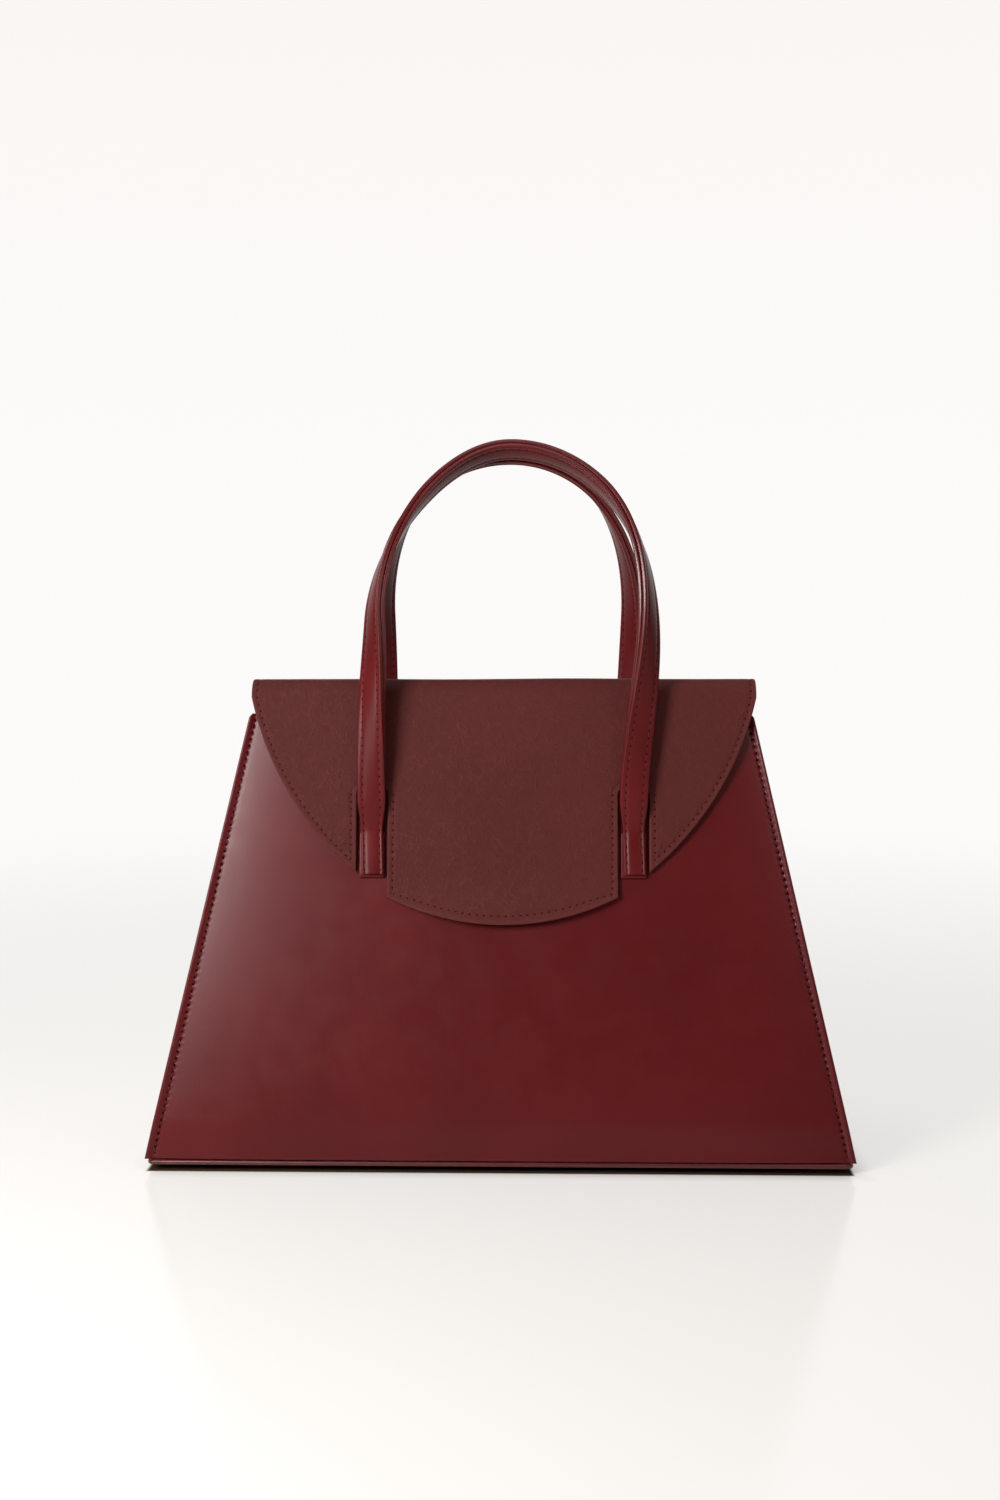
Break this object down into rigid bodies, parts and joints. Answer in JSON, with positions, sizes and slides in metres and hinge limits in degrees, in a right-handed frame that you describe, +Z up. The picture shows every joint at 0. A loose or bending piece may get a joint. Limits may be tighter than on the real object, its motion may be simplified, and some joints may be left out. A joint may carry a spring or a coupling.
{
  "type": "structured top-handle bag",
  "caption": "Trapezoid leather bag with a notched fold-over flap, twin stitched top handles and a magnetic snap",
  "frame": {"origin": "middle of the footprint, on the surface that the four feet stand on", "axes": "+X to the right of someone facing the flap, the front faces -Y, +Z up"},
  "size_m": [0.34, 0.125, 0.3539],
  "materials": {
    "body_leather": "smooth burgundy leather with a soft semi-gloss",
    "flap_leather": "matte brownish burgundy leather with a faint crackle grain",
    "flap_lining_leather": "smooth matte burgundy backing",
    "strap_leather": "glossy burgundy leather with painted edges",
    "lining_cloth": "woven lining cloth",
    "stiffener_board": "pressed fibre board",
    "nickel": "plated, polished",
    "washer_steel": "plain stamped steel"
  },
  "bodies": {
    "root": {"front_panel": "body_leather", "back_panel": "body_leather", "left_gusset": "body_leather", "right_gusset": "body_leather", "base_panel": "body_leather", "mouth_facing": "body_leather", "flap_anchor_strip": "flap_leather", "strap_base_front_left": "strap_leather", "strap_base_front_right": "strap_leather", "strap_base_back_left": "strap_leather", "strap_base_back_right": "strap_leather", "strap_end_front_left": "strap_leather", "strap_end_front_right": "strap_leather", "strap_end_back_left": "strap_leather", "strap_end_back_right": "strap_leather", "lining": "lining_cloth", "slip_pocket": "lining_cloth", "front_stiffener": "stiffener_board", "back_stiffener": "stiffener_board", "base_board": "stiffener_board", "foot_front_left": "nickel", "foot_front_right": "nickel", "foot_back_left": "nickel", "foot_back_right": "nickel", "snap_socket": "nickel", "foot_washer_front_left": "washer_steel", "foot_washer_front_right": "washer_steel", "foot_washer_back_left": "washer_steel", "foot_washer_back_right": "washer_steel", "snap_socket_washer": "washer_steel"},
    "flap": {"flap_outer": "flap_leather", "flap_lining": "flap_lining_leather", "snap_stud": "nickel", "snap_stud_washer": "washer_steel"},
    "front_handle": {"front_handle_outer": "strap_leather", "front_handle_inner": "strap_leather"},
    "back_handle": {"back_handle_outer": "strap_leather", "back_handle_inner": "strap_leather"}
  },
  "joints": [
    {"name": "flap_open", "type": "hinge", "parent": "root", "child": "flap", "pos_m": [0, 0.02656, 0.21926], "axis": [-1, 0, 0], "range_deg": [0, 110]},
    {"name": "front_handle_tip", "type": "hinge", "parent": "root", "child": "front_handle", "pos_m": [0, -0.03808, 0.16218], "axis": [1, 0, 0], "range_deg": [0, 143]},
    {"name": "back_handle_tip", "type": "hinge", "parent": "root", "child": "back_handle", "pos_m": [0, 0.03808, 0.16218], "axis": [-1, 0, 0], "range_deg": [0, 143]}
  ],
  "couplings": [
    {"joint": "front_handle_tip", "follows": "flap_open", "ratio": 1.3},
    {"joint": "back_handle_tip", "follows": "flap_open", "ratio": 1.3}
  ]
}
